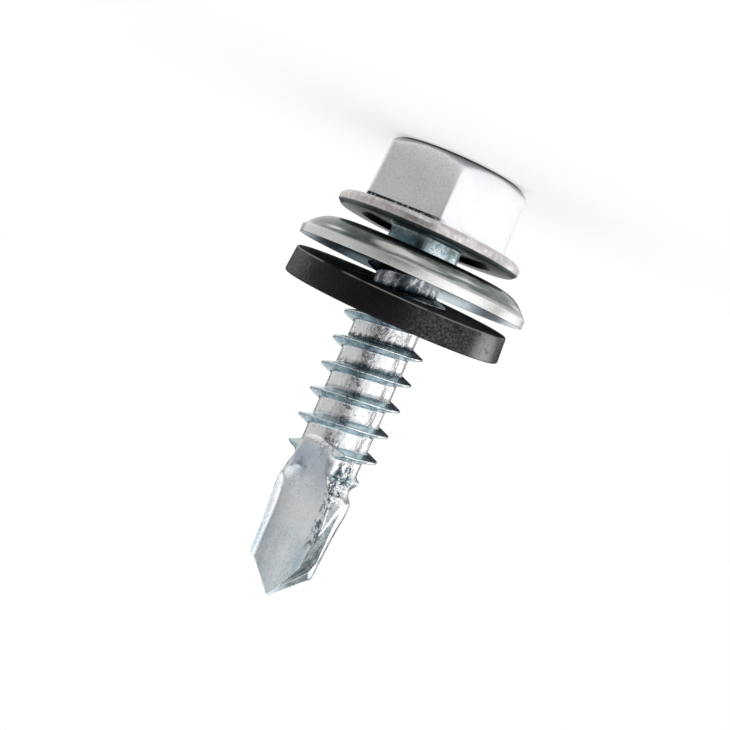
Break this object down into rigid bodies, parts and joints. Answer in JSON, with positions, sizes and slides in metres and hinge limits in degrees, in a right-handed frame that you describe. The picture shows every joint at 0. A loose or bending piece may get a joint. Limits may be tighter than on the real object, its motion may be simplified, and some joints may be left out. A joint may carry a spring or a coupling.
{
  "type": "self-drilling screw",
  "caption": "Self-drilling screw with a hexagon flange head, a coarse thread and a fluted drill point, with a loose dished washer and a rubber sealing ring.",
  "frame": {"origin": "centre of the flat top of the hexagon head, which the screw stands on", "axes": "+Z along the screw from the head to the drill tip, -Y towards the side first seen"},
  "size_m": [0.0162, 0.0161, 0.0314],
  "materials": {
    "zinc_plated_steel": "bright zinc plating, slightly pitted",
    "galvanised_steel": "galvanised, fine grain",
    "black_rubber": "matt black sealing rubber"
  },
  "bodies": {
    "screw": {"screw": "zinc_plated_steel"},
    "washer": {"dished_washer": "galvanised_steel"},
    "seal": {"sealing_ring": "black_rubber"}
  },
  "joints": [
    {"name": "washer_slide", "type": "slide", "parent": "screw", "child": "washer", "axis": [0, 0, -1], "range_m": [0, 0.00073]},
    {"name": "seal_slide", "type": "slide", "parent": "screw", "child": "seal", "axis": [0, 0, 1], "range_m": [0, 0.0235]}
  ]
}
